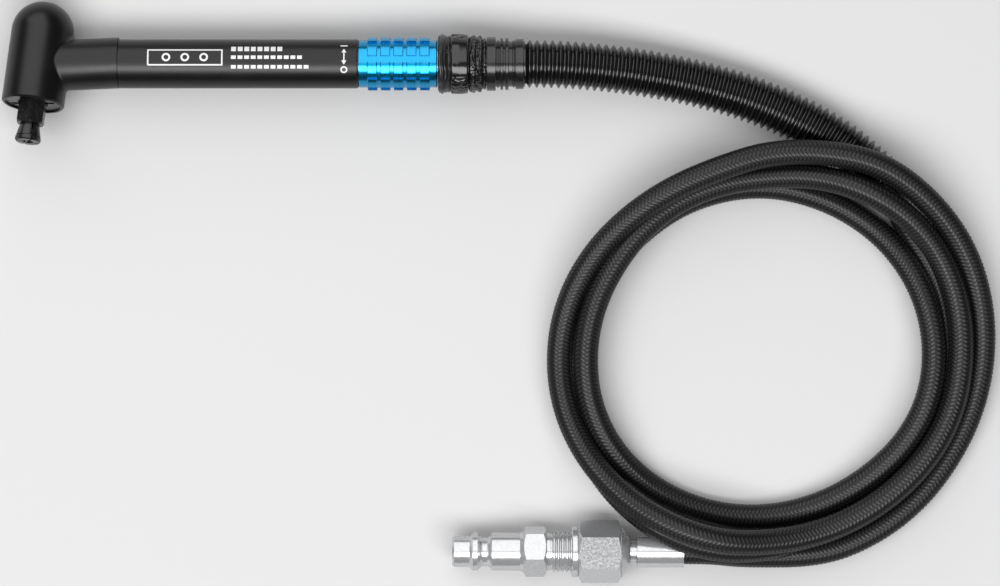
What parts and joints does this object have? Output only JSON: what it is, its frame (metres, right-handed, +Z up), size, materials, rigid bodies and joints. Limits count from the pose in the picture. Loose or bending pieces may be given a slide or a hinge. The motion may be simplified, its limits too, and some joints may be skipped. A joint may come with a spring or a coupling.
{
  "type": "angle-head air micro grinder",
  "caption": "Pencil-sized angle-head air grinder with a collet nose, blue turn-to-start sleeve, corrugated exhaust hose, coiled braided air hose and quick-connect plug.",
  "frame": {"origin": "on the table, under the middle of the tool's own box from the head to the cuff, hoses left out", "axes": "+X along the barrel from the head to the hose end, -Y is where the nose points, +Z up from the table"},
  "size_m": [0.3101, 0.1816, 0.028],
  "materials": {
    "black_anodised": "black anodised, fine satin",
    "ground_steel": "ground steel",
    "bearing_steel": "polished bearing steel",
    "nickel_steel": "bright nickel plate",
    "blackened_steel": "blackened steel, slightly oily",
    "black_metal": "gloss black",
    "natural_aluminium": "machined",
    "blue_anodised": "bright blue anodised",
    "black_rubber": "smooth rubber",
    "vane_plastic": "laminated resin",
    "silencer_felt": "felt",
    "black_tape": "glossy wound tape",
    "black_clamp": "gloss black shrink sleeve",
    "black_cuff": "semi-gloss moulded cuff",
    "black_corrugated": "gloss corrugated plastic",
    "black_braid": "black textile braid over rubber",
    "brass": "machined brass",
    "seal_rubber": "nitrile"
  },
  "bodies": {
    "housing": {"air_hose_end": "black_braid", "air_hose_lead": "black_braid", "barrel_tube": "black_anodised", "clamp_band": "black_clamp", "cylinder_liner": "ground_steel", "exhaust_cuff": "black_cuff", "exhaust_hose": "black_corrugated", "exhaust_socket": "black_metal", "ferrule": "nickel_steel", "front_bearing_outer_race": "bearing_steel", "front_plate": "ground_steel", "head_housing": "black_anodised", "hose_barb": "brass", "hose_coil": "black_braid", "hose_tail": "nickel_steel", "inner_ferrule": "nickel_steel", "liner_pin": "ground_steel", "lower_bearing_outer_race": "bearing_steel", "motor_spacer": "natural_aluminium", "nose_ring": "blackened_steel", "nut_gasket": "seal_rubber", "pinion_bearing_outer_race": "bearing_steel", "quick_plug": "nickel_steel", "rear_bearing_outer_race": "bearing_steel", "rear_plate": "ground_steel", "rubber_ring": "black_rubber", "silencer": "silencer_felt", "sleeve_seals": "seal_rubber", "spacer_tube": "natural_aluminium", "spring_washer": "ground_steel", "stop_pin": "ground_steel", "swivel_nut": "nickel_steel", "tape_wrap": "black_tape", "upper_bearing_outer_race": "bearing_steel", "valve_body": "natural_aluminium"},
    "drive_shaft": {"pinion_shaft": "ground_steel", "rotor": "ground_steel", "rotor_vanes": "vane_plastic", "pinion_bearing_inner_race": "bearing_steel", "front_bearing_inner_race": "bearing_steel", "rear_bearing_inner_race": "bearing_steel"},
    "shaft_cages": {"pinion_bearing_balls": "bearing_steel", "front_bearing_balls": "bearing_steel", "rear_bearing_balls": "bearing_steel"},
    "spindle": {"spindle": "blackened_steel", "crown_gear": "ground_steel", "upper_bearing_inner_race": "bearing_steel", "lower_bearing_inner_race": "bearing_steel"},
    "spindle_cages": {"upper_bearing_balls": "bearing_steel", "lower_bearing_balls": "bearing_steel"},
    "collet": {"collet": "blackened_steel"},
    "throttle": {"throttle_sleeve": "blue_anodised"}
  },
  "joints": [
    {"name": "motor_spin", "type": "hinge", "parent": "housing", "child": "drive_shaft", "pos_m": [-0.0703, 0.0027, 0.01205], "axis": [1, 0, 0], "continuous": true},
    {"name": "shaft_cage_spin", "type": "hinge", "parent": "housing", "child": "shaft_cages", "pos_m": [-0.0703, 0.0027, 0.01205], "axis": [1, 0, 0], "continuous": true},
    {"name": "spindle_spin", "type": "hinge", "parent": "housing", "child": "spindle", "pos_m": [-0.0703, 0.0027, 0.01205], "axis": [-0.108, -0.9683, 0.2253], "continuous": true},
    {"name": "spindle_cage_spin", "type": "hinge", "parent": "housing", "child": "spindle_cages", "pos_m": [-0.0703, 0.0027, 0.01205], "axis": [-0.108, -0.9683, 0.2253], "continuous": true},
    {"name": "collet_turn", "type": "hinge", "parent": "spindle", "child": "collet", "pos_m": [-0.0703, 0.0027, 0.01205], "axis": [-0.108, -0.9683, 0.2253], "range_deg": [0, 360]},
    {"name": "throttle_turn", "type": "hinge", "parent": "housing", "child": "throttle", "pos_m": [-0.0703, 0.0027, 0.01205], "axis": [1, 0, 0], "range_deg": [0, 55]}
  ],
  "couplings": [
    {"joint": "shaft_cage_spin", "follows": "motor_spin", "ratio": 0.36},
    {"joint": "spindle_spin", "follows": "motor_spin", "ratio": 0.77778},
    {"joint": "spindle_cage_spin", "follows": "motor_spin", "ratio": 0.28572}
  ]
}
